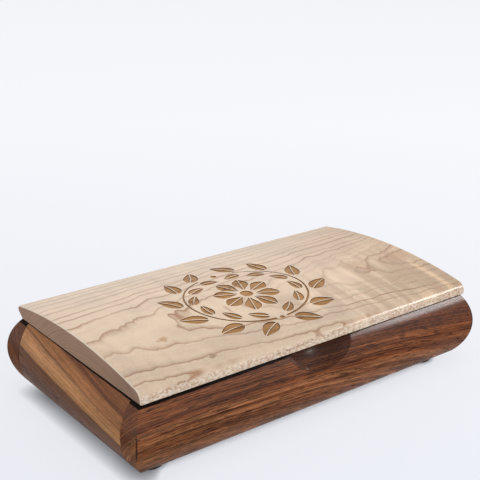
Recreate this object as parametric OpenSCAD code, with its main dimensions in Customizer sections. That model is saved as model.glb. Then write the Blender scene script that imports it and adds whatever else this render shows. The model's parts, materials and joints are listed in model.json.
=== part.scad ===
// Keepsake box: bulged walnut body, arched maple lid on two brass butt hinges.
// Millimetres. +Z is up, +X runs along the length and -Y is the front, where the
// thumb scoop is. The origin is on the table, under the middle of the body.

/* [Body] */
// Length of the body where its ends bulge most
body_len = 220; // [180:1:300]
// Depth of the body where its front and back bulge most
body_dep = 119; // [100:1:180]
// Height of the four boards
board_h = 37; // [34:0.5:44]
// Thickness of the stock that the boards are cut from
stock_t = 19; // [17:0.5:22]
// Radius of the bulge on the outside of every board
bulge_r = 26; // [25:0.5:40]
// Height of the widest point above the bottom edge of a board
bulge_h = 20; // [17:0.5:22]
// Thickness of the tongue that the front and back boards keep past the rabbet
lap_t = 12.5; // [11:0.5:14]

/* [Bottom] */
// Thickness of the bottom panel
bottom_t = 5; // [3:0.5:7]
// Width of the ledge that the bottom panel is glued under
bottom_ledge = 3.5; // [2:0.5:5]

/* [Thumb scoop] */
// Width of the scoop along the rim
scoop_w = 40; // [24:1:50]
// How far the scoop runs down from the rim
scoop_drop = 12; // [8:0.5:15]
// How far the scoop cuts into the rim
scoop_in = 5.8; // [3:0.2:8]

/* [Lid] */
// Length of the lid
lid_len = 210; // [170:1:290]
// Depth of the lid from its front edge to its nose
lid_dep = 111; // [94:1:172]
// Thickness of the lid at its crown
lid_t = 11.3; // [10.5:0.1:14]
// Radius of the arch across the lid
arch_r = 276; // [270:1:500]
// How far the crown lies behind the middle of the lid
crown_back = 2; // [0:0.5:3]
// Radius of the rounded upper front edge
front_round_r = 5; // [3:0.5:6]
// Radius of the nose along the back edge
nose_r = 2; // [1.5:0.1:2.4]
// Slope of the bevel under the nose, from the flat underside
bevel_angle = 38; // [34:1:48]
// Gap between the rim and the closed lid
lid_gap = 0.7; // [0.6:0.05:1.2]

/* [Hinges] */
// Distance from the middle of the box to the middle of each hinge
hinge_x = 60; // [30:1:75]
// Length of a hinge along its barrel
hinge_len = 25; // [20:1:30]
// Number of knuckles in a barrel
knuckle_count = 5; // [3:2:7]
// Gap between two knuckles
knuckle_gap = 0.2; // [0.1:0.05:0.4]
// Radius of the barrel
barrel_r = 1.8; // [1.6:0.1:2]
// Radius of the hinge pin
pin_r = 0.8; // [0.6:0.05:1]
// Radial play of the pin in its knuckles
pin_play = 0.05; // [0.02:0.01:0.1]
// Width of a leaf, from the pin to its far edge
leaf_w = 8.5; // [7.5:0.1:9.5]
// Thickness of a leaf
leaf_t = 0.9; // [0.6:0.05:1]
// Gap between the two leaves of a closed hinge
leaf_gap = 0.3; // [0.2:0.05:0.4]
// How far the pin lies in from the outer edge of the rim
hinge_inset = 0.7; // [0.6:0.1:1.2]

/* [Screws] */
// Distance from the middle of a hinge to each screw
screw_x = 7.5; // [6:0.5:8]
// Radius of a screw's shank
screw_r = 1.1; // [0.8:0.05:1.2]
// Length of a screw, head included
screw_len = 6; // [4.5:0.5:6]
// Radius of a screw's head
screw_head_r = 2; // [1.7:0.05:2.2]
// Width of the slot in a screw's head
screw_slot_w = 0.5; // [0.3:0.05:0.7]
// Depth of the slot in a screw's head
screw_slot_d = 0.4; // [0.2:0.05:0.5]

/* [Feet and pads] */
// Height of a rubber foot
foot_h = 3.5; // [2:0.5:5]
// Radius of a foot where it meets the body
foot_r = 8.4; // [6:0.1:9]
// How much narrower a foot is at the table
foot_taper = 0.8; // [0.2:0.1:1.5]
// Distance from the widest end of the body to the middle of a foot
foot_in_x = 19.5; // [19:0.5:26]
// Distance from the widest front of the body to the middle of a foot
foot_in_y = 21; // [19:0.5:26]
// Radius of a felt pad on the rim
pad_r = 4; // [3:0.5:5]
// Distance from the widest end of the body to the middle of a felt pad
pad_in_x = 26; // [24:1:60]

/* [Hidden] */
$fn = 96;

walnut = [0.36, 0.21, 0.14];
walnut_light = [0.55, 0.38, 0.26];
plywood = [0.72, 0.56, 0.40];
maple = [0.86, 0.77, 0.66];
brass = [0.78, 0.62, 0.30];
felt = [0.22, 0.13, 0.09];
rubber = [0.03, 0.03, 0.03];

cut = 1;                 // how far a cutter runs past what it cuts
wood_play = 0.1;         // play of brass parts in their pockets
hole_play = 0.05;        // play of a screw in its hole
barrel_play = 0.25;      // room round a barrel
pad_play = 0.1;          // gap between a felt pad and the closed lid
pin_head_r = 1.3;        // peened heads that keep the pin in its barrel
pin_head_h = 0.5;
pin_head_gap = 0.1;
screw_tip = 1;           // length of a screw's point
arch_fn = 720;           // the arch is a large circle, so it takes more facets

half_len = body_len / 2;
half_dep = body_dep / 2;
rim_z = foot_h + board_h;
lid_z = rim_z + lid_gap;

// How far the bulge has drawn in from its widest point at height h of a board.
function drawn_in(h) = bulge_r - sqrt(pow(bulge_r, 2) - pow(h - bulge_h, 2));
rim_half_dep = half_dep - drawn_in(board_h);

hinge_y = rim_half_dep - hinge_inset;
hinge_z = rim_z + lid_gap / 2;
knuckle_len = (hinge_len - (knuckle_count - 1) * knuckle_gap) / knuckle_count;
cove_r = barrel_r + barrel_play;
cove_len = hinge_len + 2 * (pin_head_gap + pin_head_h + wood_play);
// The screws sit midway between the far edge of a leaf and its barrel.
screw_y = (leaf_w + cove_r) / 2;

// ---------------------------------------------------------------- body

// Outline of the body across one direction: two bulged sides, cut flat above and below.
module bulged_outline(half) {
    intersection() {
        translate([-half, 0])
            square([2 * half, board_h]);
        union() {
            translate([bulge_r - half, 0])
                square([2 * (half - bulge_r), board_h]);
            for (side = [-1, 1])
                translate([side * (half - bulge_r), bulge_h])
                    circle(r = bulge_r, $fn = 2 * $fn);
        }
    }
}

// The whole body as one block, before it is divided into boards.
module body_block() {
    translate([0, 0, foot_h])
        intersection() {
            rotate([90, 0, 90])
                linear_extrude(height = body_len + 2 * cut, center = true)
                    bulged_outline(half_dep);
            rotate([90, 0, 0])
                linear_extrude(height = body_dep + 2 * cut, center = true)
                    bulged_outline(half_len);
        }
}

// Room for the bottom panel: a rabbet round the lower inside edge.
module bottom_rabbet() {
    translate([0, 0, foot_h + (bottom_t - cut) / 2])
        cube([
            2 * (half_len - stock_t + bottom_ledge),
            2 * (half_dep - stock_t + bottom_ledge),
            bottom_t + cut
        ], center = true);
}

// A front or back board with its bulge to -Y: full length, rabbeted at both ends.
module long_board() {
    difference() {
        intersection() {
            body_block();
            translate([-half_len, -half_dep, foot_h])
                cube([body_len, stock_t, board_h]);
        }
        for (side = [-1, 1])
            translate([
                side * (half_len + cut / 2 - stock_t / 2),
                lap_t + stock_t - half_dep,
                foot_h + board_h / 2
            ])
                cube([stock_t + cut, 2 * stock_t, board_h + 2 * cut], center = true);
        bottom_rabbet();
    }
}

// The thumb scoop is one pass of a ball. Its centre follows from the two rim points and
// the lowest point that the ball has to meet.
scoop_rim_y = -rim_half_dep;
scoop_deep_y = scoop_rim_y + scoop_in;
scoop_low_z = board_h - scoop_drop;
scoop_low_y = drawn_in(scoop_low_z) - half_dep;
ball_y = (pow(scoop_deep_y, 2) - pow(scoop_rim_y, 2) - pow(scoop_w / 2, 2)) / (2 * scoop_in);
ball_z = (pow(scoop_deep_y - ball_y, 2) - pow(scoop_low_y - ball_y, 2)
    + pow(board_h, 2) - pow(scoop_low_z, 2)) / (2 * scoop_drop);
ball_r = norm([scoop_deep_y - ball_y, board_h - ball_z]);

module front_board() {
    color(walnut)
        difference() {
            long_board();
            translate([0, ball_y, foot_h + ball_z])
                sphere(r = ball_r, $fn = 2 * $fn);
        }
}

module back_board() {
    color(walnut)
        difference() {
            rotate([0, 0, 180])
                long_board();
            for (side = [-1, 1])
                at_hinge(side) {
                    leaf_pocket(-1);
                    hinge_cove();
                    screw_holes(-1);
                }
        }
}

// An end board stands in the rabbets, between the tongues of the two long boards.
module end_board(side) {
    color(walnut_light)
        difference() {
            intersection() {
                body_block();
                translate([side * (half_len - stock_t / 2), 0, foot_h + board_h / 2])
                    cube([stock_t, 2 * (half_dep - lap_t), board_h], center = true);
            }
            bottom_rabbet();
        }
}

module bottom_panel() {
    color(plywood)
        translate([0, 0, foot_h + bottom_t / 2])
            cube([
                2 * (half_len - stock_t + bottom_ledge),
                2 * (half_dep - stock_t + bottom_ledge),
                bottom_t
            ], center = true);
}

// ---------------------------------------------------------------- lid

// In the lid's outline, x is the depth and y the height above its flat underside.
arch_y = lid_t - arch_r;
front_round = [
    front_round_r - lid_dep / 2,
    arch_y + sqrt(pow(arch_r - front_round_r, 2) - pow(lid_dep / 2 - front_round_r + crown_back, 2))
];
nose_round = [
    lid_dep / 2 - nose_r,
    arch_y + sqrt(pow(arch_r - nose_r, 2) - pow(lid_dep / 2 - nose_r - crown_back, 2))
];
// Where the bevel runs off the nose, and the direction that it takes from there.
bevel_start = nose_round + nose_r * [sin(bevel_angle), -cos(bevel_angle)];
bevel_run = [cos(bevel_angle), sin(bevel_angle)];

// What lies outside a round of radius r at centre c, between the direction to the side
// and the one that leads away from the centre of the arch.
module outside_round(c, r, side) {
    away = c - [crown_back, arch_y];
    reach = 4 * r;
    difference() {
        polygon([c, c + [side * reach, 0], c + [side * reach, reach], c + reach * away / norm(away)]);
        translate(c)
            circle(r = r);
    }
}

module lid_outline() {
    difference() {
        intersection() {
            translate([-lid_dep / 2, 0])
                square([lid_dep, lid_t]);
            translate([crown_back, arch_y])
                circle(r = arch_r, $fn = arch_fn);
        }
        outside_round(front_round, front_round_r, -1);
        outside_round(nose_round, nose_r, 1);
        // Below the nose: the bevel, and the last of the nose's round.
        difference() {
            polygon([
                bevel_start - 2 * lid_t * bevel_run,
                bevel_start,
                nose_round,
                nose_round + [nose_r + cut, 0],
                nose_round + [nose_r + cut, -lid_t]
            ]);
            translate(nose_round)
                circle(r = nose_r);
        }
    }
}

module lid_panel() {
    color(maple)
        difference() {
            translate([0, 0, lid_z])
                rotate([90, 0, 90])
                    linear_extrude(height = lid_len, center = true)
                        lid_outline();
            for (side = [-1, 1])
                at_hinge(side) {
                    leaf_pocket(1);
                    hinge_cove();
                    screw_holes(1);
                }
        }
}

// ---------------------------------------------------------------- hinges

// Puts the middle of a barrel at its place, with the pin along X and the leaves to -Y.
module at_hinge(side) {
    translate([side * hinge_x, hinge_y, hinge_z])
        children();
}

module along_pin(radius, length, at = 0) {
    translate([at, 0, 0])
        rotate([0, 90, 0])
            cylinder(r = radius, h = length, center = true);
}

function knuckle_at(i) = (i - (knuckle_count - 1) / 2) * (knuckle_len + knuckle_gap);

// Height of the face of a leaf that looks at the other leaf; up is -1 for the box leaf.
function leaf_face(up) = up * leaf_gap / 2;

// A plate as thick as a leaf, from its far edge to past_pin behind the pin.
module leaf_plate(up, play = 0, past_pin = 0) {
    translate([0, (past_pin - leaf_w - play) / 2, leaf_face(up) + up * leaf_t / 2])
        cube([hinge_len + 2 * play, leaf_w + play + past_pin, leaf_t], center = true);
}

// The pocket for a leaf is open towards the back.
module leaf_pocket(up) {
    leaf_plate(up, wood_play, cove_r);
}

// Room for the barrel and the heads of the pin.
module hinge_cove() {
    along_pin(cove_r, cove_len);
}

module at_screws(up) {
    for (x = [-screw_x, screw_x])
        translate([x, -screw_y, leaf_face(up)])
            rotate([up > 0 ? 180 : 0, 0, 0])
                children();
}

// Pilot holes in the wood under a leaf.
module screw_holes(up) {
    at_screws(up)
        translate([0, 0, -screw_len - hole_play])
            cylinder(r = screw_r + hole_play, h = screw_len + hole_play);
}

// One leaf: box leaf (up = -1) has the first knuckle, lid leaf (up = 1) the second, and so on.
module hinge_leaf(up) {
    first = up < 0 ? 0 : 1;
    color(brass)
        difference() {
            union() {
                difference() {
                    leaf_plate(up);
                    for (i = [1 - first : 2 : knuckle_count - 1])
                        along_pin(cove_r, knuckle_len + 2 * knuckle_gap, knuckle_at(i));
                }
                for (i = [first : 2 : knuckle_count - 1])
                    along_pin(barrel_r, knuckle_len, knuckle_at(i));
            }
            along_pin(pin_r + pin_play, hinge_len + 2 * cut);
            at_screws(up) {
                translate([0, 0, -leaf_t])
                    cylinder(r1 = screw_r + hole_play, r2 = screw_head_r + hole_play, h = leaf_t);
                translate([0, 0, -leaf_t - cut])
                    cylinder(r = screw_r + hole_play, h = leaf_t + cut);
            }
        }
}

module hinge_pin() {
    color(brass)
        union() {
            along_pin(pin_r, hinge_len + 2 * pin_head_gap + pin_head_h);
            for (end = [-1, 1])
                along_pin(pin_head_r, pin_head_h, end * (hinge_len / 2 + pin_head_gap + pin_head_h / 2));
        }
}

// A slotted countersunk screw, its head flush with the leaf.
module leaf_screw() {
    difference() {
        rotate_extrude()
            polygon([
                [0, 0],
                [screw_head_r, 0],
                [screw_r, -leaf_t],
                [screw_r, screw_tip - screw_len],
                [0, -screw_len]
            ]);
        translate([0, 0, cut / 2 - screw_slot_d])
            cube([2 * screw_head_r + cut, screw_slot_w, cut], center = true);
    }
}

module leaf_screws(up) {
    color(brass)
        at_screws(up)
            leaf_screw();
}

// ---------------------------------------------------------------- feet and pads

module foot(side, front) {
    color(rubber)
        translate([side * (half_len - foot_in_x), front * (half_dep - foot_in_y), 0])
            cylinder(r1 = foot_r - foot_taper, r2 = foot_r, h = foot_h);
}

// A felt pad on the rim of the front board keeps the lid off the wood.
module rim_pad(side) {
    color(felt)
        translate([side * (half_len - pad_in_x), (stock_t - drawn_in(board_h)) / 2 - rim_half_dep, rim_z])
            cylinder(r = pad_r, h = lid_gap - pad_play);
}

// ---------------------------------------------------------------- nodes

front_board();
back_board();
end_board(-1);  // left_end_board
end_board(1);  // right_end_board
bottom_panel();
lid_panel();
at_hinge(-1) hinge_leaf(-1);  // left_hinge_box_leaf
at_hinge(-1) hinge_leaf(1);  // left_hinge_lid_leaf
at_hinge(-1) hinge_pin();  // left_hinge_pin
at_hinge(-1) leaf_screws(-1);  // left_hinge_box_screws
at_hinge(-1) leaf_screws(1);  // left_hinge_lid_screws
at_hinge(1) hinge_leaf(-1);  // right_hinge_box_leaf
at_hinge(1) hinge_leaf(1);  // right_hinge_lid_leaf
at_hinge(1) hinge_pin();  // right_hinge_pin
at_hinge(1) leaf_screws(-1);  // right_hinge_box_screws
at_hinge(1) leaf_screws(1);  // right_hinge_lid_screws
rim_pad(-1);  // rim_pad_left
rim_pad(1);  // rim_pad_right
foot(-1, -1);  // foot_front_left
foot(1, -1);  // foot_front_right
foot(-1, 1);  // foot_back_left
foot(1, 1);  // foot_back_right
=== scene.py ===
# %% [markdown]
# # A keepsake box in walnut and curly maple
#
# The box is a low walnut body whose four sides bulge outwards, under a gently arched maple lid
# with an ornament cut into it. The sizes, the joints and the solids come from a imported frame.
# This lesson dresses that frame: it eases the edges, cuts the ornament, and grows the wood.

# %% Load the frame
import math
import json

import bmesh
import bpy
import numpy as np
from mathutils import Matrix, Vector


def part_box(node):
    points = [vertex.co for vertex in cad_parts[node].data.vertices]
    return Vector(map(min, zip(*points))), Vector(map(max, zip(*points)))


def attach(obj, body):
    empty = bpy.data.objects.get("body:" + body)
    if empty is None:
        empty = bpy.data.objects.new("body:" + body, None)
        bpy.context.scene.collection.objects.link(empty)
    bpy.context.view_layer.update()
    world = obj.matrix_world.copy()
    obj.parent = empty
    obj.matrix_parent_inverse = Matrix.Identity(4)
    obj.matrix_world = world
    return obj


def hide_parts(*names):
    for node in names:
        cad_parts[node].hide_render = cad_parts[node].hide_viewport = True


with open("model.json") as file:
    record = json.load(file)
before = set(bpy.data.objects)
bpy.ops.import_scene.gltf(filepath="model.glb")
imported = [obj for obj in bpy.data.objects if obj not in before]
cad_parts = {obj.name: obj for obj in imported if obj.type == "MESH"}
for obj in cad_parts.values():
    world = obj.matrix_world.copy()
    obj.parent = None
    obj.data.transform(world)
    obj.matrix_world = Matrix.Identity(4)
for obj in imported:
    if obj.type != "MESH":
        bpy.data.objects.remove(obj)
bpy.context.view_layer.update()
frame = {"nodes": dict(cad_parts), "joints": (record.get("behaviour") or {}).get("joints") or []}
nodes = frame["nodes"]
MM = 0.001

# %% [markdown]
# ## The camera
#
# A product photograph of a small box is taken from about half a metre with a short telephoto
# lens, so its edges converge only a little. The camera is set by the direction it looks from,
# a slight roll and its place, which is how one would find it again on a tripod.

# %% Camera
camera_azimuth = math.radians(-39.09)
camera_elevation = math.radians(20.36)
camera_roll = math.radians(1.665)
camera_place = Vector((-0.31332, -0.37561, 0.2583))
lens_mm = 76.59
scene = bpy.context.scene

back = Vector((
    math.sin(camera_azimuth) * math.cos(camera_elevation),
    -math.cos(camera_azimuth) * math.cos(camera_elevation),
    math.sin(camera_elevation),
))
level_right = Vector((math.cos(camera_azimuth), math.sin(camera_azimuth), 0))
level_up = back.cross(level_right)
right = level_right * math.cos(camera_roll) + level_up * math.sin(camera_roll)
up = back.cross(right)


def new_object(name, data):
    """A new object with this data, linked to the scene."""
    made = bpy.data.objects.new(name, data)
    scene.collection.objects.link(made)
    return made


camera = new_object("camera", bpy.data.cameras.new("camera"))
camera.data.lens = lens_mm
camera.data.clip_start = 0.01
camera.matrix_world = Matrix.Translation(camera_place) @ Matrix((right, up, back)).transposed().to_4x4()
scene.camera = camera
scene.view_settings.view_transform = "Standard"
print("camera looks along", [round(-c, 3) for c in back])

# %% [markdown]
# ## Small tools for materials
#
# Node trees read best as short sums. One helper adds any node and sets its inputs by name. The
# others do arithmetic or mix colours, and each of those gives back the socket with its answer.


# %% Node helpers
def add(tree, kind, **settings):
    """Adds a node. Names of inputs set or link those; other names set its properties."""
    made = tree.nodes.new("ShaderNode" + kind)
    for name, value in settings.items():
        title = name.replace("_", " ")
        if title not in made.inputs:
            setattr(made, name, value)
    for name, value in settings.items():
        title = name.replace("_", " ")
        if title in made.inputs:
            plug(tree, value, made.inputs[title])
    return made


def plug(tree, value, socket):
    """Links an output to a socket, or writes a plain value into it."""
    if isinstance(value, bpy.types.NodeSocket):
        tree.links.new(value, socket)
    else:
        socket.default_value = value


def calc(tree, operation, *values, clamp=False):
    """One Math node, and the socket with its answer."""
    made = tree.nodes.new("ShaderNodeMath")
    made.operation = operation
    made.use_clamp = clamp
    for socket, value in zip(made.inputs, values):
        plug(tree, value, socket)
    return made.outputs[0]


def times(tree, first, second):
    """One value multiplied by another."""
    return calc(tree, "MULTIPLY", first, second)


def scaled(tree, value, factor, offset, clamp=False):
    """A value times a factor, plus an offset."""
    return calc(tree, "MULTIPLY_ADD", value, factor, offset, clamp=clamp)


def vector_calc(tree, operation, *values):
    """One Vector Math node, and the socket with its answer, which is a vector or a number."""
    made = tree.nodes.new("ShaderNodeVectorMath")
    made.operation = operation
    for socket, value in zip(made.inputs, values):
        plug(tree, value, socket)
    return made.outputs["Value" if operation in ("DOT_PRODUCT", "DISTANCE", "LENGTH") else "Vector"]


def axes(tree, vector):
    """The X, Y and Z of a vector."""
    return add(tree, "SeparateXYZ", Vector=vector).outputs


def mix(tree, factor, first, second, blend="MIX"):
    """One mix of two colours, its sockets 6 and 7, and the socket with the result."""
    made = tree.nodes.new("ShaderNodeMix")
    made.data_type = "RGBA"
    made.blend_type = blend
    plug(tree, factor, made.inputs["Factor"])
    plug(tree, first, made.inputs[6])
    plug(tree, second, made.inputs[7])
    return made.outputs[2]


def ramp(tree, value, first, last, stops):
    """A colour ramp over the values from first to last; stops are (value, colour or grey)."""
    share = calc(tree, "DIVIDE", calc(tree, "SUBTRACT", value, first), last - first)
    made = add(tree, "ValToRGB", Fac=share)
    marks = made.color_ramp.elements
    while len(marks) < len(stops):
        marks.new(1)
    for mark, (position, paint) in zip(marks, stops):
        mark.position = (position - first) / (last - first)
        mark.color = paint if isinstance(paint, tuple) else (paint, paint, paint, 1)
    return made.outputs["Color"]


def tone(red, green, blue):
    """A colour from the 0 to 255 numbers of a colour chart, made linear."""
    parts = [c / 255 for c in (red, green, blue)]
    linear = [c / 12.92 if c <= 0.04045 else ((c + 0.055) / 1.055) ** 2.4 for c in parts]
    return (*linear, 1.0)


def new_material(name, **surface):
    """A material with one Principled shader; surface names its plain inputs."""
    material = bpy.data.materials.new(name)
    material.use_nodes = True
    shader = material.node_tree.nodes["Principled BSDF"]
    for title, value in surface.items():
        shader.inputs[title.replace("_", " ")].default_value = value
    return material, material.node_tree, shader


print("chart grey 128 is", round(tone(128, 128, 128)[0], 3), "in linear light")

# %% [markdown]
# ## Floor, sky and lamps
#
# The box stands on a pale sweep in soft studio light. A small key lamp stands to the right and
# in front, a broad one hangs overhead, and an even pale sky fills the shadows. The left end is
# turned away from the key lamp, so it falls into shade.

# %% Floor
floor_radius = 6.0


def as_mesh(shape, name):
    """Turns a bmesh into a mesh, and frees it."""
    mesh = bpy.data.meshes.new(name)
    shape.to_mesh(mesh)
    shape.free()
    return mesh


shape = bmesh.new()
bmesh.ops.create_circle(shape, cap_ends=True, radius=floor_radius, segments=96)
floor = new_object("floor", as_mesh(shape, "floor"))
print("floor:", 2 * floor_radius, "m across")

# %% [markdown]
# Paper that is lit evenly from many sides keeps only the closest part of a shadow. Where the
# floor is seen directly, most of its light is therefore its own plain colour, and the rest
# comes from the lamps and holds the shadow. One occlusion node draws a thin shade along the
# foot of the box, wider at the left, away from the key lamp. Another reaches further and keeps
# the dark deep under the box. The Light Path node tells which rays only look at the floor.

# %% Paper
near_tone = tone(238, 240, 247)
far_tone = tone(251, 252, 255)
shadow_share = 0.18
front_shade, left_shade = 0.0028, 0.0085
under_reach = 0.06


def seen_directly(tree):
    """1 for rays from the camera and for what gloss and glass show, and 0 for the rest."""
    rays = add(tree, "LightPath").outputs
    direct = calc(tree, "ADD", rays["Is Camera Ray"], rays["Is Glossy Ray"], clamp=True)
    return calc(tree, "ADD", direct, rays["Is Transmission Ray"], clamp=True)


floor_material, tree, shader = new_material("floor_paper", Roughness=0.9)
floor.data.materials.append(floor_material)
at = axes(tree, add(tree, "TexCoord").outputs["Object"])
depth = scaled(tree, at["X"], 0.8, at["Y"])
far = add(tree, "MapRange", Value=depth, From_Min=-0.2, From_Max=0.7).outputs["Result"]
paper = mix(tree, far, near_tone, far_tone)
plug(tree, paper, shader.inputs["Base Color"])
reach = add(tree, "MapRange", Value=at["X"], From_Min=-0.088, From_Max=-0.1,
            To_Min=front_shade, To_Max=left_shade).outputs["Result"]
foot_shade = add(tree, "AmbientOcclusion", samples=16, Distance=reach).outputs["AO"]
deep = add(tree, "AmbientOcclusion", samples=16, Distance=under_reach).outputs["AO"]
deep = add(tree, "MapRange", Value=deep, From_Min=0.03, From_Max=0.16).outputs["Result"]
own_light = add(tree, "Emission", Color=paper, Strength=times(tree, foot_shade, deep))
blend = add(tree, "MixShader")
plug(tree, times(tree, seen_directly(tree), 1 - shadow_share), blend.inputs[0])
plug(tree, shader.outputs[0], blend.inputs[1])
plug(tree, own_light.outputs[0], blend.inputs[2])
plug(tree, blend.outputs[0], tree.nodes["Material Output"].inputs["Surface"])
print("floor paper:", len(tree.nodes), "nodes")

# %% [markdown]
# The sky is one even colour, so it needs no picture. A lamp is described by the light it gives
# on a surface that faces it, because that number stays true when its distance changes.

# %% Sky and lamps
sky_tone = (0.94, 0.96, 1.0, 1)
sky_light, sky_more_seen = 0.56, 0.42
key_direction, key_size, key_level = (0.725, -0.54, 0.435), 0.28, 0.28
top_direction, top_size, top_level = (-0.15, -0.25, 0.95), 1.0, 0.32
lamp_distance = 1.4

world = bpy.data.worlds.new("studio")
scene.world = world
world.use_nodes = True
tree = world.node_tree
sky = tree.nodes["Background"].inputs
sky["Color"].default_value = sky_tone
plug(tree, scaled(tree, seen_directly(tree), sky_more_seen, sky_light), sky["Strength"])


def soft_lamp(name, direction, size, level):
    """A square lamp that gives this level of light on a surface that faces it."""
    data = bpy.data.lights.new(name, "AREA")
    data.shape = "SQUARE"
    data.size = size
    data.energy = level * math.pi ** 2 * lamp_distance ** 2
    lamp = new_object(name, data)
    aim = Vector(direction).normalized()
    lamp.location = aim * lamp_distance
    lamp.rotation_euler = aim.to_track_quat("Z", "Y").to_euler()
    print(name, round(data.energy, 2), "W")


soft_lamp("key_lamp", key_direction, key_size, key_level)
soft_lamp("top_lamp", top_direction, top_size, top_level)

# %% [markdown]
# ## Eased edges
#
# A saw leaves sharp edges, and a maker takes them off with fine paper. A bevel does the same. It
# is made on a copy that is merged first, because the solids keep their faces apart.


# %% Eased copies
def link_piece(name, mesh, body, slot, *stands_for):
    """Puts a finished mesh in the scene, on its body, in place of the nodes it stands for."""
    piece = new_object(name, mesh)
    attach(piece, body)
    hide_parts(*stands_for)
    return piece


def keep_result(piece):
    """Replaces a piece's mesh by the one that its modifiers make of it."""
    bpy.context.view_layer.update()
    result = bpy.data.meshes.new_from_object(piece.evaluated_get(bpy.context.evaluated_depsgraph_get()))
    piece.modifiers.clear()
    result.name = piece.data.name
    piece.data = result


def settle_shading(piece, sharp):
    """Shades a piece smooth but leaves its flat faces flat, so only the eased edges bend light."""
    piece.data.shade_smooth()
    piece.data.set_sharp_from_angle(angle=math.radians(sharp))
    piece.modifiers.new("weigh", "WEIGHTED_NORMAL").keep_sharp = True
    keep_result(piece)


def merged_copy(name):
    """The mesh of a node with its split corners joined and its flat faces whole."""
    shape = bmesh.new()
    shape.from_mesh(nodes[name].data)
    bmesh.ops.remove_doubles(shape, verts=shape.verts, dist=0.002 * MM)
    bmesh.ops.dissolve_limit(shape, angle_limit=math.radians(0.5), verts=shape.verts, edges=shape.edges)
    return shape


print("front board:", len(nodes["front_board"].data.vertices), "split corners")

# %% [markdown]
# The four boards bulge, and their lowest outer edge is sanded in by about two millimetres, so
# that the black feet show below it. Its vertices move straight inwards, so the joints stay shut.

# %% Boards
board_ease = 0.3 * MM
sharp_angle = math.radians(40)
sanded_height = 1.5
edge_inward, above_inward = 2.2, 0.8
outer_x, outer_y = 100 * MM, 50 * MM


def sand_under(shape):
    """Moves the lowest outer edge of a board inwards."""
    low = min(vert.co.z for vert in shape.verts)
    for vert in shape.verts:
        height = (vert.co.z - low) / MM
        if height > sanded_height:
            continue
        inward = edge_inward if height < 0.1 else above_inward
        if abs(vert.co.x) > outer_x:
            vert.co.x -= math.copysign(inward * MM, vert.co.x)
        if abs(vert.co.y) > outer_y:
            vert.co.y -= math.copysign(inward * MM, vert.co.y)


def eased_copy(name, slot):
    """A piece that stands for a board, with its sharp edges rounded over."""
    shape = merged_copy(name)
    sand_under(shape)
    edges = [e for e in shape.edges if len(e.link_faces) == 2 and e.calc_face_angle() > sharp_angle]
    bmesh.ops.bevel(
        shape, geom=edges, offset=board_ease, segments=2, profile=0.5, affect="EDGES", clamp_overlap=True
    )
    piece = link_piece(name + "_eased", as_mesh(shape, name + "_eased"), "box", slot, name)
    settle_shading(piece, 50)
    return piece


boards = {}
for board in ("front_board", "back_board", "left_end_board", "right_end_board"):
    boards[board] = eased_copy(board, "walnut_end" if "end" in board else "walnut")
    print(board, len(boards[board].data.polygons), "faces")

# %% [markdown]
# ## The lid
#
# The lid is one board, planed to an arch above and flat below, with a round along its front
# edge and a nose along its back. Its section is a short chain of arcs. Drawing that chain and
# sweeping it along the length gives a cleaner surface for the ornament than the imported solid.

# %% Lid section
lid_low, lid_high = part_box("lid_panel")
lid_half = lid_high.x / MM
lid_front, lid_back = lid_low.y / MM, lid_high.y / MM
lid_floor = lid_low.z / MM
lid_t = (lid_high.z - lid_low.z) / MM
arch_r = 276.0
crown_y = 2.0
front_r = 5.0
nose_r = 2.0
bevel_angle = math.radians(38)
arch_z = lid_floor + lid_t - arch_r


def arch_top(y):
    """Height of the arched top at depth y."""
    return arch_z + math.sqrt(arch_r ** 2 - (y - crown_y) ** 2)


def arc(centre, radius, start, end, steps):
    """Points on an arc in the section; angles run from straight up towards the back."""
    return [
        (centre[0] + radius * math.sin(a), centre[1] + radius * math.cos(a))
        for a in np.linspace(start, end, steps + 1)
    ]


def tangent_round(y, radius):
    """Centre of a round that touches the arch inside, and the angle where it does."""
    centre = (y, arch_z + math.sqrt((arch_r - radius) ** 2 - (y - crown_y) ** 2))
    return centre, math.asin((y - crown_y) / (arch_r - radius))


front_centre, front_tangent = tangent_round(lid_front + front_r, front_r)
nose_centre, nose_tangent = tangent_round(lid_back - nose_r, nose_r)
section = [(lid_front, lid_floor)]
section += arc(front_centre, front_r, -math.pi / 2, front_tangent, 14)
section += arc((crown_y, arch_z), arch_r, front_tangent, nose_tangent, 120)[1:]
section += arc(nose_centre, nose_r, nose_tangent, math.pi - bevel_angle, 12)[1:]
bevel_top = section[-1]
section += [(bevel_top[0] - (bevel_top[1] - lid_floor) / math.tan(bevel_angle), lid_floor)]
print("lid section:", len(section), "points")

# %% [markdown]
# The two ends of the lid are softened over about a millimetre. The section is drawn in a
# little at each step of a quarter round, so that the end face meets the top in a small curve.


# %% Lid board
def inset(outline, amount):
    """An outline of a closed chain, moved inwards by amount along its corner bisectors."""
    moved = []
    for i, (y, z) in enumerate(outline):
        before, after = outline[i - 1], outline[(i + 1) % len(outline)]
        into = (y - before[0], z - before[1])
        out = (after[0] - y, after[1] - z)
        n1 = Vector((into[1], -into[0])).normalized()
        n2 = Vector((out[1], -out[0])).normalized()
        middle = (n1 + n2).normalized()
        moved.append(Vector((y, z)) + middle * amount / max(middle.dot(n1), 0.35))
    return moved


def sweep(rings, name):
    """A closed mesh through rings of points, with a cap on the first and the last."""
    count = len(rings[0])
    points = [p for ring in rings for p in ring]
    faces = [tuple(range(count))[::-1]]
    for r in range(len(rings) - 1):
        for i in range(count):
            a, b = r * count + i, r * count + (i + 1) % count
            faces.append((a, b, b + count, a + count))
    faces.append(tuple(range((len(rings) - 1) * count, len(rings) * count)))
    mesh = bpy.data.meshes.new(name)
    mesh.from_pydata([Vector(p) * MM for p in points], [], faces)
    return mesh


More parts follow.
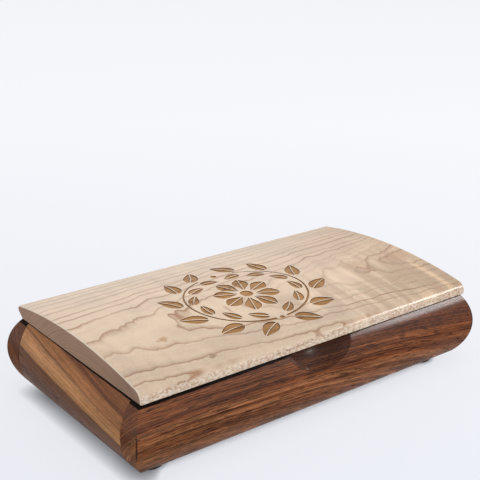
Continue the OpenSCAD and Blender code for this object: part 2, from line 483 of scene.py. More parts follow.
lid_ease = 0.9
ease_steps = 4
rings = []
for k in range(ease_steps + 1):
    turn = math.pi / 2 * k / ease_steps
    outline = inset(section, lid_ease * (1 - math.sin(turn)))
    rings.append((lid_half - lid_ease * (1 - math.cos(turn)), outline))
lid_rings = [[(-x, p[0], p[1]) for p in outline] for x, outline in rings]
lid_rings += [[(x, p[0], p[1]) for p in outline] for x, outline in rings[::-1]]
lid_mesh = sweep(lid_rings, "carved_lid")
shape = bmesh.new()
shape.from_mesh(lid_mesh)
bmesh.ops.recalc_face_normals(shape, faces=shape.faces)
shape.to_mesh(lid_mesh)
shape.free()
lid = link_piece("carved_lid", lid_mesh, "lid", "maple", "lid_panel")
print("lid board:", len(lid_mesh.polygons), "faces")

# %% [markdown]
# ## Pockets under the lid
#
# The hinge leaves are let into the underside, and each barrel lies in a cove. The pockets are
# cut with the leaves' own boxes, grown by the play that a maker leaves.

# %% Hinge pockets
wood_play = 0.1
barrel_room = 2.05
pin_end_room = 0.7
leaf_lift = 0.15
leaf_thick = 0.9
joint = frame["joints"][0]
pin_y, pin_z = joint["pos_m"][1] / MM, joint["pos_m"][2] / MM


def block(low, high):
    """A box between two corners, as a bmesh."""
    made = bmesh.new()
    bmesh.ops.create_cube(made, size=1)
    middle, size = (Vector(low) + Vector(high)) / 2, Vector(high) - Vector(low)
    grown = Matrix.Translation(middle) @ Matrix.Diagonal((*size, 1))
    bmesh.ops.transform(made, matrix=grown, verts=made.verts)
    return made


def rod(centre, radius, length):
    """A round rod along X, as a bmesh."""
    made = bmesh.new()
    bmesh.ops.create_cone(made, cap_ends=True, segments=48, radius1=radius, radius2=radius, depth=length)
    turn = Matrix.Rotation(math.pi / 2, 4, "Y")
    bmesh.ops.transform(made, matrix=Matrix.Translation(centre) @ turn, verts=made.verts)
    return made


def cut_away(piece, cutter_mesh):
    """Cuts one mesh out of a piece and keeps the result."""
    cutter = new_object("cutter", cutter_mesh)
    cut = piece.modifiers.new("cut", "BOOLEAN")
    cut.operation = "DIFFERENCE"
    cut.solver = "EXACT"
    cut.object = cutter
    keep_result(piece)
    bpy.data.objects.remove(cutter)


for hand in ("left", "right"):
    low, high = (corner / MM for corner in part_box(hand + "_hinge_lid_leaf"))
    middle_x = (low.x + high.x) / 2
    leaf_top = pin_z + leaf_lift + leaf_thick
    pocket = block(
        (low.x - wood_play, low.y - wood_play, lid_floor - 1),
        (high.x + wood_play, pin_y + barrel_room, leaf_top),
    )
    cove = rod((middle_x, pin_y, pin_z), barrel_room, high.x - low.x + 2 * pin_end_room)
    for cutter_shape in (pocket, cove):
        for vertex in cutter_shape.verts:
            vertex.co *= MM
        cut_away(lid, as_mesh(cutter_shape, "pocket"))
print("lid with pockets:", len(lid.data.polygons), "faces")

# %% [markdown]
# ## The ornament
#
# The lid carries a carved and burnt ornament about 86 by 72 mm. Here it is a traditional one:
# a rosette of eight petals inside an oval wreath of leaves. Each leaf is cut as two shallow
# halves with a pale rib left standing between them.
#
# Every cut is a band: a curved spine with a near side and a far side. A band can be drawn a
# little wider or narrower, and these growths give the chamfer, the wall and the dark rim.

# %% Bands
rib = 0.6
tip_half = 0.08
leaf_start, leaf_end = 0.03, 0.975
narrowest = 0.36


def band(spine, near, far, steps):
    """A cut between two distances from a spine; gives its outline for any growth."""
    stations = []
    for t in np.linspace(0, 1, steps):
        run = (Vector(spine(t + 0.01)) - Vector(spine(t - 0.01))).normalized()
        stations.append((2 * t - 1, Vector(spine(t)), run, near(t), far(t)))

    def outline(growth):
        near_side, far_side = [], []
        for end, point, run, inner, outer in stations:
            step = max(growth, -narrowest * abs(outer - inner))
            sign = 1 if outer > inner else -1
            left = Vector((-run.y, run.x))
            point = point + run * step * end
            near_side.append(point + left * (inner - sign * step))
            far_side.append(point + left * (outer + sign * step))
        return near_side + far_side[::-1]

    return outline


def leaf(base, heading, length, width, bend, round_base=0.75, steps=16):
    """The two halves of a leaf, with a standing rib between them."""
    along = Vector((math.cos(heading), math.sin(heading)))
    left = Vector((-along.y, along.x))

    def spine(t):
        s = leaf_start + (leaf_end - leaf_start) * t
        return Vector(base) + along * length * s + left * bend * math.sin(math.pi * s)

    def half_width(t):
        s = leaf_start + (leaf_end - leaf_start) * t
        return rib / 2 + tip_half + (width / 2 - rib / 2 - tip_half) * math.sin(math.pi * s ** round_base)

    return [
        band(spine, lambda t: hand * rib / 2, lambda t: hand * half_width(t), steps)
        for hand in (-1, 1)
    ]


def disc(centre, radius, steps=40):
    """A round cut."""
    turns = np.linspace(0, 2 * math.pi, steps, endpoint=False)
    return lambda growth: [
        Vector(centre) + (radius + growth) * Vector((math.cos(a), math.sin(a))) for a in turns
    ]


print("a leaf is", len(leaf((0, 0), 0, 15, 8, 0)), "bands")

# %% [markdown]
# The wreath is two sprays that start at the bottom and nearly meet at the top. A thin stem
# joins the leaves of a spray, and a berry sits where the sprays meet. Of each pair of leaves the
# larger points out of the oval.

# %% Wreath and rosette
ornament_centre = Vector((-9.0, -7.5))
wreath_half = Vector((34.0, 28.0))
spray_start, spray_turn = math.radians(9), math.radians(147)
stem_half, stem_taper = 0.6, 0.2
leaf_pairs = 6
# Outwards (1) or inwards (-1): length, width, splay in degrees, distance from the stem.
leaf_forms = {1: (14.8, 8.0, 37, 3.0), -1: (11.0, 5.6, 30, 3.2)}
leaf_bend = 0.6
petal_count = 8
petal_start = 4.4
petal_length = 13.6
petal_width = 8.5
heart_radius = 3.3
berries = ((math.pi / 2, 1.7), (-math.pi / 2, 1.2))


def on_wreath(angle):
    """A point of the oval that the stems follow."""
    return ornament_centre + Vector((wreath_half.x * math.cos(angle), wreath_half.y * math.sin(angle)))


def even_angles(start, end, count):
    """Angles between start and end whose points on the oval are evenly spaced."""
    fine = np.linspace(start, end, 400)
    reach = [0.0]
    for a, b in zip(fine, fine[1:]):
        reach.append(reach[-1] + (on_wreath(b) - on_wreath(a)).length)
    return np.interp(np.linspace(0, reach[-1], count), reach, fine)


cuts = []
for side in (-1, 1):
    start = -math.pi / 2 + side * spray_start
    end = start + side * spray_turn
    stem_start, stem_end = start - 0.06 * side, end + 0.08 * side
    cuts.append(band(
        lambda t: on_wreath(stem_start + (stem_end - stem_start) * t),
        lambda t: stem_taper * t - stem_half, lambda t: stem_half - stem_taper * t, 60,
    ))
    for angle in even_angles(start, end, leaf_pairs):
        run = (on_wreath(angle + 0.01 * side) - on_wreath(angle - 0.01 * side)).normalized()
        heading = math.atan2(run.y, run.x)
        for outwards, (length, width, splay, aside) in leaf_forms.items():
            hand = -side * outwards
            base = on_wreath(angle) + Vector((-run.y, run.x)) * hand * aside
            cuts += leaf(base, heading + hand * math.radians(splay), length, width, -leaf_bend * hand)
for k in range(petal_count):
    angle = 2 * math.pi * (k + 0.5) / petal_count
    base = ornament_centre + Vector((math.cos(angle), math.sin(angle))) * petal_start
    cuts += leaf(base, angle, petal_length, petal_width, 0, round_base=1.35)
cuts.append(disc(ornament_centre, heart_radius))
for angle, berry_radius in berries:
    cuts.append(disc(on_wreath(angle), berry_radius, 24))
print("ornament:", len(cuts), "cuts")

# %% [markdown]
# The cutter for each band follows the arch, so that the floor of the cut lies at one depth
# everywhere. It has a tiny chamfer at the surface, which catches the light as a pale line, and
# a narrow ring along the wall that will be burnt darker than the rest.

# %% Ornament cutters
cut_depth = 0.4
chamfer = 0.16
dark_rim = 0.34
skin = 0.03
cutter_top = 0.5
inner_drop = 0.02
# How far the outline grows at each height over the arch, from the top of the cutter down.
carve_levels = (
    (chamfer + skin, cutter_top), (chamfer, skin), (0, skin - chamfer), (-skin, -cut_depth),
    (-dark_rim, -cut_depth - inner_drop),
)


def runs_clockwise(points):
    """Tells from the signed area which way round a closed outline runs, seen from above."""
    return sum(points[i - 1].x * p.y - p.x * points[i - 1].y for i, p in enumerate(points)) < 0


def add_cutter(shape, cut):
    """Adds one closed cutter; its chamfer keeps the surface's slot, the rest is burnt."""
    rings = []
    for growth, height in carve_levels:
        points = cut(growth)
        if runs_clockwise(points):
            points = points[::-1]
        rings.append([shape.verts.new(Vector((p.x, p.y, arch_top(p.y) + height)) * MM) for p in points])
    count = len(rings[0])
    for level, (upper, lower) in enumerate(zip(rings, rings[1:])):
        for i in range(count):
            j = (i + 1) % count
            face = shape.faces.new((upper[i], lower[i], lower[j], upper[j]))
            face.material_index = 1 if level > 1 else 0
    top, bottom = rings[0], rings[-1]
    for i in range(count // 2 - 1):
        a, b, c, d = i, i + 1, count - 2 - i, count - 1 - i
        shape.faces.new((top[a], top[b], top[c], top[d]))
        shape.faces.new((bottom[d], bottom[c], bottom[b], bottom[a])).material_index = 1


cutters = bmesh.new()
for cut in cuts:
    add_cutter(cutters, cut)
cutter_mesh = as_mesh(cutters, "ornament_cutter")
for slot_name in ("maple", "burnt"):
    placeholder = bpy.data.materials.new(slot_name)
    lid.data.materials.append(placeholder)
    cutter_mesh.materials.append(placeholder)
cut_away(lid, cutter_mesh)
settle_shading(lid, 35)
print("carved lid:", len(lid.data.polygons), "faces")

# %% [markdown]
# The burnt floor is darker beside its walls. A value on each vertex says how far it lies from
# them: the inner floor ring was cut a little deeper, so the depth of a vertex tells which it is.

# %% Distance from the walls
burn = lid.data.attributes.new("away_from_wall", "FLOAT", "POINT")
depths = [arch_top(v.co.y / MM) - v.co.z / MM for v in lid.data.vertices]
inner_floor = cut_depth + inner_drop / 2
away = [1.0 if inner_floor < d < inner_floor + 0.1 else 0.0 for d in depths]
burn.data.foreach_set("value", away)
print("vertices on the burnt floor:", int(sum(away)))

# %% [markdown]
# ## Wood
#
# Wood is solid: a board shows rings on its end because it is cut from a trunk. So the woods are
# worked out in the board's volume, in millimetres, with x along the grain. Year rings are
# distances from the middle of the trunk, which drifts a little as the trunk leans.


# %% Node groups
def node_group(name, inputs, outputs):
    """A shader group; inputs gives plain values, and outputs gives kinds of sockets."""
    tree = bpy.data.node_groups.new(name, "ShaderNodeTree")
    for title, value in inputs.items():
        kind = "Float" if isinstance(value, float) else {3: "Vector", 4: "Color"}[len(value)]
        socket = tree.interface.new_socket(title, in_out="INPUT", socket_type="NodeSocket" + kind)
        socket.default_value = value
    for title, kind in outputs.items():
        tree.interface.new_socket(title, in_out="OUTPUT", socket_type="NodeSocket" + kind)
    given = tree.nodes.new("NodeGroupInput").outputs
    result = tree.nodes.new("NodeGroupOutput").inputs
    return tree, given, result


def use(tree, group, **values):
    """Places a group by its name, with this place's own values, and gives its outputs."""
    made = tree.nodes.new("ShaderNodeGroup")
    made.node_tree = bpy.data.node_groups[group]
    for name, value in values.items():
        plug(tree, value, made.inputs[name.replace("_", " ")])
    return made.outputs


def noise(tree, place, scale, detail=2.0, roughness=0.5, seed=0.0):
    """Noise around 0, mostly within 0.5 of it, on a place scaled along each axis."""
    stretched = vector_calc(tree, "MULTIPLY_ADD", place, scale, (seed, seed, seed))
    made = add(tree, "TexNoise", Vector=stretched, Scale=1.0, Detail=detail, Roughness=roughness)
    return scaled(tree, made.outputs["Fac"], 2.0, -1.0)


def window(tree, value, low, high):
    """Rises smoothly from 0 to 1 as value goes from low to high."""
    made = add(tree, "MapRange", interpolation_type="SMOOTHSTEP", From_Min=low, From_Max=high)
    plug(tree, value, made.inputs["Value"])
    return made.outputs["Result"]


def shaded(tree, colour, level):
    """A colour times a grey level."""
    grey = add(tree, "CombineColor", Red=level, Green=level, Blue=level)
    return mix(tree, 1.0, colour, grey.outputs[0], "MULTIPLY")


def coated(tree, shader, colour, roughness, height, strength, depth):
    """Gives a shader its colour, its roughness and a bump of this depth in millimetres."""
    bump = add(tree, "Bump", Strength=strength, Distance=depth * MM, Height=height)
    plug(tree, colour, shader.inputs["Base Color"])
    plug(tree, roughness, shader.inputs["Roughness"])
    plug(tree, bump.outputs[0], shader.inputs["Normal"])


print("node groups so far:", len(bpy.data.node_groups))

# %% [markdown]
# A wave texture would give rings too, but even ones. Here the distance from the pith is bent by
# slow noise and rippled along the grain, so one group gives a flat-sawn face its loops and a
# quartered one its straight lines.

# %% Year rings
tree, given, result = node_group(
    "year_rings",
    {"Place": (0, 0, 0), "Pith Y": 0.0, "Pith Z": -50.0, "Drift": 0.0, "Fan": 0.0,
     "Wander": 1.0, "Ripple": 0.0, "Ripple Length": 11.0},
    {"Radius": "Float", "Bent Place": "Vector"},
)
place = axes(tree, given["Place"])
lean = scaled(tree, given["Fan"], place["X"], given["Drift"])
raised = scaled(tree, lean, place["X"], place["Z"])
slow = noise(tree, given["Place"], (1 / 38, 1 / 22, 1 / 22), 2.5)
raised = scaled(tree, given["Wander"], slow, raised)
bent = add(tree, "CombineXYZ", X=place["X"], Y=place["Y"], Z=raised).outputs[0]
plug(tree, bent, result["Bent Place"])
across = calc(tree, "SUBTRACT", place["Y"], given["Pith Y"])
above = calc(tree, "SUBTRACT", raised, given["Pith Z"])
squares = scaled(tree, above, above, times(tree, across, across))
per_length = calc(tree, "DIVIDE", 1.0, given["Ripple Length"])
ripple_scale = add(tree, "CombineXYZ", X=per_length, Y=1 / 45, Z=1 / 45).outputs[0]
ripples = noise(tree, given["Place"], ripple_scale, 2.0)
radius = scaled(tree, given["Ripple"], ripples, calc(tree, "SQRT", squares))
plug(tree, radius, result["Radius"])
print("group:", tree.name, len(tree.nodes), "nodes")

# %% [markdown]
# Within a year the wood is streaked. Streaks follow the rings, so they are noise in the radius
# that hardly changes along the grain. Pores are short dark dashes, and on an end face the same
# noise is seen end on, as fine dots.

# %% Streaks and pores
tree, given, result = node_group(
    "streaks",
    {"Place": (0, 0, 0), "Radius": 0.0, "Length": 60.0, "Thickness": 0.7,
     "Pore Length": 6.0, "Pore Thickness": 0.35, "Pore Edge": 0.25},
    {"Streak": "Float", "Fibre": "Float", "Pores": "Float"},
)
place = axes(tree, given["Place"])
along = calc(tree, "DIVIDE", place["X"], given["Length"])
outwards = calc(tree, "DIVIDE", given["Radius"], given["Thickness"])
sideways = calc(tree, "DIVIDE", place["Y"], 25.0)
ring_place = add(tree, "CombineXYZ", X=along, Y=outwards, Z=sideways).outputs[0]
plug(tree, noise(tree, ring_place, (1, 1, 1), 4.0, 0.6), result["Streak"])
lengthwise = calc(tree, "DIVIDE", 1.0, given["Pore Length"])
crosswise = calc(tree, "DIVIDE", 1.0, given["Pore Thickness"])
stretch = add(tree, "CombineXYZ", X=lengthwise, Y=crosswise, Z=crosswise).outputs[0]
fibre = noise(tree, given["Place"], stretch, 1.5, 0.5, seed=7.3)
plug(tree, fibre, result["Fibre"])
above_edge = calc(tree, "SUBTRACT", fibre, given["Pore Edge"])
plug(tree, window(tree, above_edge, 0.0, 0.09), result["Pores"])
print("group:", tree.name, len(tree.nodes), "nodes")

# %% [markdown]
# End grain drinks more finish than the faces and looks darker and greyer, and on the lid the
# arris beside it gets a painted highlight, a pale sheen. A group compares the surface's own
# direction with the grain, so it finds every end face and every rounded arris by itself.

# %% End grain
tree, given, result = node_group("end_grain", {"Grain": (1, 0, 0)}, {"End": "Float", "Arris": "Float"})
surface = add(tree, "TexCoord").outputs["Normal"]
turned = calc(tree, "ABSOLUTE", vector_calc(tree, "DOT_PRODUCT", surface, given["Grain"]))
end_face = window(tree, turned, 0.72, 0.96)
plug(tree, end_face, result["End"])
on_arris = calc(tree, "SUBTRACT", window(tree, turned, 0.12, 0.35), end_face)
plug(tree, on_arris, result["Arris"])
print("group:", tree.name, len(tree.nodes), "nodes")

# %% [markdown]
# ## Walnut
#
# The boards were finished together and show the same marks: a bruised arris beside the end
# grain with pale chips near its top, and lacquer built up on the upper shoulder. Painted shade is
# added too: a dark line under the rim, wider at the left, for the gap under the lid, and a darker
# lowest edge near the floor. One group finds them all by the place along the grain and the height.

# %% Edges of the boards
rim_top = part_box("front_board")[1].z / MM
board_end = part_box("front_board")[1].x / MM
tree, given, result = node_group(
    "board_edges",
    {"Place": (0, 0, 0), "End": 0.0, "Rim Line": 1.0},
    {"Foot": "Float", "Polish": "Float", "Chips": "Float", "Arris": "Float", "Rim": "Float"},
)
at = axes(tree, given["Place"])
# Painted shade: the lowest few millimetres are darkened for the shade near the floor.
plug(tree, window(tree, at["Z"], 7.0, 4.0), result["Foot"])
plug(tree, window(tree, at["Z"], 24.0, 33.0), result["Polish"])
chips = noise(tree, given["Place"], (1 / 3, 1 / 3, 1 / 1.6), 2.0, seed=8.0)
chips = window(tree, chips, -0.1, 0.15)
near_top = window(tree, at["Z"], rim_top - 10.0, rim_top - 8.0)
near_end = window(tree, at["X"], 1.1 - board_end, 0.8 - board_end)
chips = times(tree, times(tree, chips, near_top), near_end)
plug(tree, chips, result["Chips"])
outer = calc(tree, "ABSOLUTE", at["X"])
arris = window(tree, outer, board_end - 1.15, board_end - 0.8)
plug(tree, calc(tree, "SUBTRACT", arris, given["End"], clamp=True), result["Arris"])
# Painted shade: a near-black line under the rim, wider at the left, stands for the shade in the gap under
# the lid.
wider = scaled(tree, window(tree, at["X"], 45.0, -45.0), 0.9, 1.0)
rim_drop = times(tree, wider, given["Rim Line"])
start = calc(tree, "SUBTRACT", rim_top, rim_drop)
rim = window(tree, at["Z"], start, calc(tree, "ADD", start, 0.3))
surface = add(tree, "TexCoord").outputs["Normal"]
upward = axes(tree, surface)["Z"]
rim = times(tree, rim, window(tree, upward, 0.97, 0.8))
plug(tree, rim, result["Rim"])
print("group:", tree.name, len(tree.nodes), "nodes")

# %% [markdown]
# Each board is its own piece of timber, so each gets its own bands of colour, listed from the
# middle of the trunk outwards. The finish is a rubbed satin, a little rougher in the pores. The
# thumb scoop was cut by a ball, so a ball also finds the hollow, which gets painted shade and
# less coat. Light and dark come from streaks, fibres and slow patches, summed to a level for the
# band colour.


# %% Walnut
def grain_place(tree, along_y=False):
    """The place in the wood in millimetres, with x along the grain."""
    source = add(tree, "TexCoord").outputs["Object"]
    made = add(tree, "Mapping", Vector=source)
    made.inputs["Scale"].default_value = (1 / MM, 1 / MM, 1 / MM)
    made.inputs["Rotation"].default_value = (0, 0, math.radians(-90) if along_y else 0)
    return made.outputs[0]


scoop_centre, scoop_radius = (0.0, -84.76, 65.13), 44.77
pore_tone = tone(40, 17, 10)
end_tint = tone(250, 254, 240)
bruise_tone, chip_tone = tone(46, 23, 14), tone(214, 196, 178)
# The rim tone is near black: painted shade for the gap under the lid.
rim_shade_tone = tone(6, 3, 2)


def walnut(name, bands, rings, along_y=False, streak=1.9, pores=0.85, rim_line=1.0, scoop=False):
    """A walnut board; bands are (radius in mm, colour), and rings sets the year rings."""
    material, tree, shader = new_material(name, IOR=1.45, Specular_IOR_Level=0.05, Coat_Roughness=0.18)
    place = grain_place(tree, along_y)
    ring = use(tree, "year_rings", Place=place, **rings)
    grain = use(tree, "streaks", Place=ring["Bent Place"], Radius=ring["Radius"], Length=46.0,
                Thickness=0.6, Pore_Length=10.0, Pore_Thickness=0.45, Pore_Edge=0.12)
    ends = use(tree, "end_grain", Grain=(0, 1, 0) if along_y else (1, 0, 0))
    edges = use(tree, "board_edges", Place=place, End=ends["End"], Rim_Line=rim_line)
    level = scaled(tree, grain["Streak"], streak, 1.04)
    level = scaled(tree, grain["Fibre"], 1.5 * pores, level)
    level = scaled(tree, noise(tree, place, (1 / 70, 1 / 12, 1 / 12), 2.0, seed=3.1), 0.35, level)
    # The foot mask darkens the lowest edge: painted shade near the floor.
    level = times(tree, calc(tree, "MAXIMUM", level, 0.3), scaled(tree, edges["Foot"], -0.45, 1.0))
    coat = scaled(tree, edges["Polish"], 0.33, 0.02)
    if scoop:
        # Painted shade: the hollow of the scoop is darkened, and given less coat.
        from_centre = vector_calc(tree, "DISTANCE", place, scoop_centre)
        scoop_shade = window(tree, from_centre, scoop_radius + 0.3, scoop_radius + 0.1)
        level = times(tree, level, scaled(tree, scoop_shade, -0.5, 1.0))
        coat = scaled(tree, scoop_shade, -0.15, coat)
    radius = scaled(tree, grain["Streak"], 0.9, ring["Radius"])
    colour = ramp(tree, radius, bands[0][0], bands[-1][0], [(r, tone(*rgb)) for r, rgb in bands])
    colour = shaded(tree, colour, level)
    colour = mix(tree, times(tree, grain["Pores"], pores), colour, pore_tone)
    colour = mix(tree, ends["End"], colour, mix(tree, 1.0, colour, end_tint, "MULTIPLY"))
    arris_colour = mix(tree, edges["Chips"], bruise_tone, chip_tone)
    colour = mix(tree, times(tree, edges["Arris"], 0.85), colour, arris_colour)
    # Painted shade: the line under the rim is mixed to near black, and loses its coat.
    colour = mix(tree, times(tree, edges["Rim"], 0.97), colour, rim_shade_tone)
    plug(tree, calc(tree, "SUBTRACT", coat, edges["Rim"], clamp=True), shader.inputs["Coat Weight"])
    rough = scaled(tree, ends["End"], 0.15, scaled(tree, grain["Pores"], 0.2, 0.4))
    height = scaled(tree, grain["Pores"], -1.0, times(tree, grain["Fibre"], 0.5))
    coated(tree, shader, colour, rough, height, 0.5, 0.06)
    return material


print("thumb scoop:", scoop_radius, "mm ball")

# %% [markdown]
# The front and back come from one plank, and the two ends from another with a stripe of pale
# sapwood. The bands' colours are in chart numbers, as one would note them beside a real board.

# %% Timber of each board
front_bands = [
    (112, (133, 84, 52)), (118, (137, 88, 54)), (126, (139, 89, 55)), (128.6, (112, 64, 36)),
    (130, (133, 82, 50)), (131.6, (153, 100, 64)), (132.8, (112, 62, 34)), (134.2, (155, 101, 65)),
    (136.4, (124, 70, 38)), (138, (93, 49, 27)), (139.6, (131, 78, 45)), (141.4, (104, 56, 30)),
    (144, (131, 76, 43)), (146, (97, 52, 28)), (150, (108, 58, 32)), (158, (112, 60, 32)),
]
front_rings = dict(Pith_Y=-151.9, Pith_Z=-73.3, Drift=0.08, Fan=0.000375, Wander=0.9)
back_rings = dict(Pith_Y=150.0, Pith_Z=-75.0, Drift=-0.05, Fan=0.0002, Wander=2.5)
end_bands = [
    (394, (101, 65, 44)), (408, (112, 74, 49)), (414.5, (104, 65, 45)), (416.3, (87, 52, 34)),
    (417.6, (114, 75, 52)), (424, (118, 77, 50)), (425.7, (102, 67, 41)), (426.3, (169, 117, 72)),
    (429, (188, 134, 85)), (433.7, (180, 125, 78)), (434.4, (125, 77, 41)), (435.2, (169, 111, 63)),
    (439.4, (165, 106, 59)), (440.3, (116, 65, 31)), (444, (137, 83, 43)), (450, (120, 69, 37)),
]
left_rings = dict(Pith_Y=70.0, Pith_Z=-400.0, Drift=-0.123, Wander=1.2)
right_rings = dict(Pith_Y=-70.0, Pith_Z=-396.0, Drift=0.09, Wander=2.0)
board_woods = {
    "front_board": walnut("walnut_front", front_bands, front_rings, scoop=True),
    "back_board": walnut("walnut_back", front_bands, back_rings),
    "left_end_board": walnut("walnut_left_end", end_bands, left_rings, True, 1.0, 0.4, 0.5),
    "right_end_board": walnut("walnut_right_end", end_bands, right_rings, True, 1.0, 0.4, 0.5),
}
for board, wood in board_woods.items():
    boards[board].data.materials.clear()
    boards[board].data.materials.append(wood)
    print(board, "is cut from", wood.name)

# %% [markdown]
# ## Maple
#
# The lid is flat-sawn curly maple: pale, with thin brown ring lines that close into loops where
# the surface lies nearly along a ring, and soft bands of light and dark across the grain where
# the fibres wave. The lines' distances from the middle of the trunk are listed one by one.

# %% Maple lines and stains
maple_rings = dict(Pith_Y=-13.0, Pith_Z=-2.5, Drift=-0.048, Wander=1.6, Ripple=0.95, Ripple_Length=8.5)
inner_lines = {50.1: 0.9, 51.4: 0.9, 53.0: 0.4, 54.4: 0.25, 55.6: 0.45, 57.7: 1.0, 59.6: 0.8}
outer_lines = {63.0: 0.95, 66.0: 0.85, 68.3: 0.9, 72.2: 0.8, 75.0: 0.75, 79.0: 0.8, 82.3: 0.75, 85.5: 0.8}
# Each stain: x, y, size, strength and colour.
stains = (
    (-72.5, -25.5, 2.6, 0.75, (188, 140, 94)), (-60.0, -47.0, 2.4, 0.75, (150, 118, 92)),
    (64.5, -10.0, 7.0, 0.4, (186, 142, 102)), (95.0, -13.0, 9.0, 0.45, (178, 132, 94)),
)
lid_level = 48.0


def line_ramp(tree, radius, lines, width):
    """Dark lines at these radii, each fading inwards and sharp on its outer side."""
    stops = []
    for r, strength in lines.items():
        stops += [(r - width, 0.0), (r - 0.35 * width, 0.4 * strength)]
        stops += [(r, strength), (r + 0.25 * width, 0.0)]
    return ramp(tree, radius, min(lines) - 3, max(lines) + 2, stops)


def spot(tree, place, x, y, size):
    """A small round mask on the lid, with an uneven edge."""
    offset = vector_calc(tree, "SUBTRACT", place, (x, y, lid_level))
    reach = vector_calc(tree, "LENGTH", vector_calc(tree, "MULTIPLY", offset, (0.7, 1.0, 0.0)))
    uneven = scaled(tree, noise(tree, place, (0.5, 0.5, 0.5), 2.0), size * 0.8, reach)
    return window(tree, uneven, size, size * 0.3)


print("maple:", len(inner_lines) + len(outer_lines), "ring lines,", len(stains), "stains")

# %% [markdown]
# The lid's wood is needed twice: plain for the surface, and burnt for the floor of the ornament.
# Both use one group with their own base and line colours, so a ring line runs on through the
# ornament, only darker. First come the lines and the curl, which is strongest at the front right.

# %% Figure of the maple
tree, given, result = node_group(
    "maple_figure",
    {"Place": (0, 0, 0), "Base": (1, 1, 1, 1), "Line": (0, 0, 0, 1)},
    {"Colour": "Color", "Curl": "Float", "End": "Float", "Height": "Float"},
)
place, base, line = given["Place"], given["Base"], given["Line"]
ring = use(tree, "year_rings", Place=place, **maple_rings)
grain = use(tree, "streaks", Place=ring["Bent Place"], Radius=ring["Radius"], Length=40.0,
            Thickness=1.6, Pore_Length=1.8, Pore_Thickness=0.5, Pore_Edge=0.2)
radius = scaled(tree, grain["Streak"], 0.15, ring["Radius"])
inner = line_ramp(tree, radius, inner_lines, 0.5)
lines = calc(tree, "MAXIMUM", inner, line_ramp(tree, radius, outer_lines, 0.75))
fade = noise(tree, place, (1 / 30, 1 / 14, 1 / 14), 1.0, seed=5.0)
strength = scaled(tree, fade, 0.7, 0.85, clamp=True)
colour = mix(tree, times(tree, lines, strength), base, line)
curl = noise(tree, place, (1 / 6.5, 1 / 45, 1 / 45), 1.5, seed=11.0)
curl_place = noise(tree, place, (1 / 55, 1 / 40, 1 / 40), 1.0, seed=2.0)
at = axes(tree, place)
curl = times(tree, curl, window(tree, curl_place, -0.35, 0.25))
curl_share = window(tree, at["X"], -40.0, 60.0)
curl_share = times(tree, curl_share, window(tree, at["Y"], 8.0, -30.0))
curl = times(tree, curl, calc(tree, "ADD", curl_share, 0.22))
plug(tree, curl, result["Curl"])
print("maple_figure so far:", len(tree.nodes), "nodes")

# %% [markdown]
# Then the level: streaks, fibres and patches as in the walnut, but much fainter, and a lid that
# darkens a little to the right and the front. Brown bars, a warmer right end and the stains
# are laid over it.

# %% Light and dark of maple
level = scaled(tree, curl, 0.62, 1.0)
level = scaled(tree, grain["Streak"], 0.16, level)
level = scaled(tree, grain["Fibre"], 0.12, level)
patch = noise(tree, place, (1 / 30, 1 / 16, 1 / 16), 2.0, seed=9.0)
level = scaled(tree, patch, 0.14, level)
level = scaled(tree, window(tree, at["X"], 20.0, 100.0), -0.15, level)
level = scaled(tree, window(tree, at["Y"], -10.0, -50.0), -0.19, level)
colour = shaded(tree, colour, level)
bars = times(tree, window(tree, curl, 0.0, -0.3), 0.55)
colour = mix(tree, bars, colour, mix(tree, 0.35, base, line))
warm = mix(tree, window(tree, at["X"], 20.0, 110.0), tone(255, 252, 248), tone(252, 240, 225))
colour = mix(tree, 1.0, colour, warm, "MULTIPLY")
for x, y, size, share, tint in stains:
    stain = times(tree, spot(tree, place, x, y, size), share)
    colour = mix(tree, stain, colour, tone(*tint))
print("maple_figure so far:", len(tree.nodes), "nodes")

# %% [markdown]
# Last come the edges. The end face shows the rings end on, its arris gets a painted highlight,
# a pale sheen, and the rounded front edge cuts across the fibres and is full of small flecks.

# %% Ends and front edge of the lid
pale_tone = tone(246, 234, 216)
ends = use(tree, "end_grain", Grain=(1, 0, 0))
fine = add(tree, "CombineXYZ", X=0.0, Y=times(tree, ring["Radius"], 2.0), Z=0.0).outputs[0]
end_level = scaled(tree, noise(tree, fine, (1, 1, 1), 3.0, seed=1.0), 1.3, level)
end_colour = shaded(tree, tone(150, 110, 78), end_level)
colour = mix(tree, times(tree, ends["End"], 0.9), colour, end_colour)
# Painted highlight: the lid's rounded arris is mixed halfway to a pale tone.
colour = mix(tree, times(tree, ends["Arris"], 0.5), colour, pale_tone)
tilt = axes(tree, add(tree, "TexCoord").outputs["Normal"])["Y"]
edge = calc(tree, "SUBTRACT", window(tree, tilt, -0.8, -0.93), ends["End"], clamp=True)
fleck = noise(tree, place, (1 / 1.5, 1 / 0.8, 1 / 0.8), 1.0, seed=6.0)
fleck_colour = mix(tree, window(tree, fleck, -0.3, 0.3), tone(182, 144, 108), pale_tone)
colour = mix(tree, times(tree, edge, 0.5), colour, fleck_colour)
height = scaled(tree, grain["Pores"], -0.6, times(tree, grain["Fibre"], 0.6))
plug(tree, colour, result["Colour"])
plug(tree, ends["End"], result["End"])
plug(tree, height, result["Height"])
print("group:", tree.name, len(tree.nodes), "nodes")

# %% [markdown]
# The surface has a thin coat of lacquer, except on its thirsty end grain. The burnt floor has
# none, and is darkest beside its walls, where the tool lingered.

# %% Maple
scorch_tone = tone(98, 54, 26)


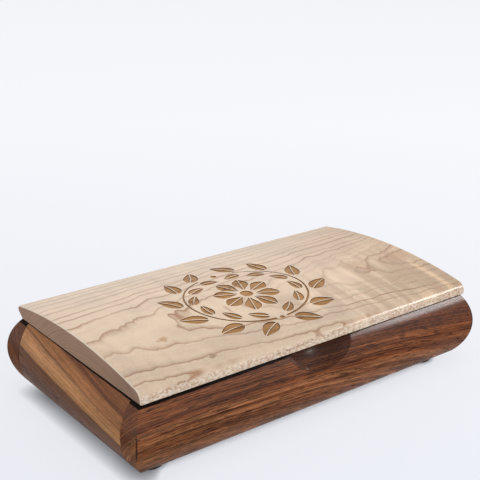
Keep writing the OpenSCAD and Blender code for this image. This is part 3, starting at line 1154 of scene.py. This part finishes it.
def maple(name, base, line, burnt=False):
    """The lid's wood, plain or burnt."""
    material, tree, shader = new_material(name, IOR=1.48, Specular_IOR_Level=0.25, Coat_Roughness=0.14)
    figure = use(tree, "maple_figure", Place=grain_place(tree), Base=base, Line=line)
    colour = figure["Colour"]
    if burnt:
        away = add(tree, "Attribute", attribute_name="away_from_wall").outputs["Fac"]
        colour = mix(tree, window(tree, away, 1.0, 0.0), colour, scorch_tone)
    else:
        lacquer = scaled(tree, figure["End"], -0.4, 0.4)
        plug(tree, lacquer, shader.inputs["Coat Weight"])
    rough = scaled(tree, figure["Curl"], 0.1, 0.42)
    coated(tree, shader, colour, rough, figure["Height"], 0.35, 0.04)
    return material


lid.data.materials[0] = maple("maple_surface", tone(231, 206, 179), tone(157, 106, 64))
lid.data.materials[1] = maple("maple_burnt", tone(176, 130, 76), tone(112, 66, 32), burnt=True)
print("lid:", [wood.name for wood in lid.data.materials])

# %% [markdown]
# ## Feet, pads, hinges and bottom
#
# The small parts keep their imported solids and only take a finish. The feet are matt black
# rubber and the pads on the rim brown felt. Both are little more than a fine noise.

# %% Rubber and felt
rubber, tree, shader = new_material("rubber_black", IOR=1.5, Specular_IOR_Level=0.2)
speck = noise(tree, grain_place(tree), (2.5, 2.5, 2.5), 2.0)
rubber_colour = mix(tree, window(tree, speck, -0.6, 0.8), tone(4, 4, 5), tone(14, 14, 15))
coated(tree, shader, rubber_colour, scaled(tree, speck, 0.08, 0.62), speck, 0.2, 0.02)

felt, tree, shader = new_material("felt_brown", Sheen_Weight=0.3, Sheen_Roughness=0.6)
fuzz = noise(tree, grain_place(tree), (4.0, 4.0, 4.0), 4.0, 0.7)
felt_colour = mix(tree, window(tree, fuzz, -0.6, 0.6), tone(40, 26, 18), tone(78, 56, 42))
coated(tree, shader, felt_colour, 0.95, fuzz, 0.6, 0.1)
print("materials:", rubber.name, felt.name)

# %% [markdown]
# The hinges are brass with the faint lines of a wire brush and a little tarnish. The bottom is
# a panel with a walnut veneer of even stripes, so it reuses the function for the boards.

# %% Brass and veneer
brass, tree, shader = new_material("brass_brushed", Metallic=1.0)
place = grain_place(tree)
brush = noise(tree, place, (1 / 8, 1 / 0.12, 1 / 0.12), 2.0)
tarnish = noise(tree, place, (1 / 6, 1 / 4, 1 / 4), 3.0, seed=4.0)
brass_colour = mix(tree, window(tree, tarnish, -0.2, 0.9), tone(212, 176, 104), tone(150, 112, 58))
brass_rough = scaled(tree, window(tree, tarnish, 0.0, 1.0), 0.15, 0.3)
brass_rough = scaled(tree, brush, 0.1, brass_rough)
coated(tree, shader, brass_colour, brass_rough, brush, 0.15, 0.01)

bottom_bands = [(r, (128, 92, 64) if k % 2 else (146, 108, 78)) for k, r in enumerate(range(380, 480, 7))]
bottom_rings = dict(Pith_Y=0.0, Pith_Z=-430.0, Drift=0.02, Wander=12.0)
bottom_wood = walnut("walnut_veneer", bottom_bands, bottom_rings, streak=0.5)

small_finishes = {"hinge": brass, "pad": felt, "foot": rubber, "bottom": bottom_wood}
for word, finish in small_finishes.items():
    parts = [node for name, node in nodes.items() if word in name]
    for node in parts:
        node.data.materials.clear()
        node.data.materials.append(finish)
    print(finish.name, "on", len(parts), "parts")
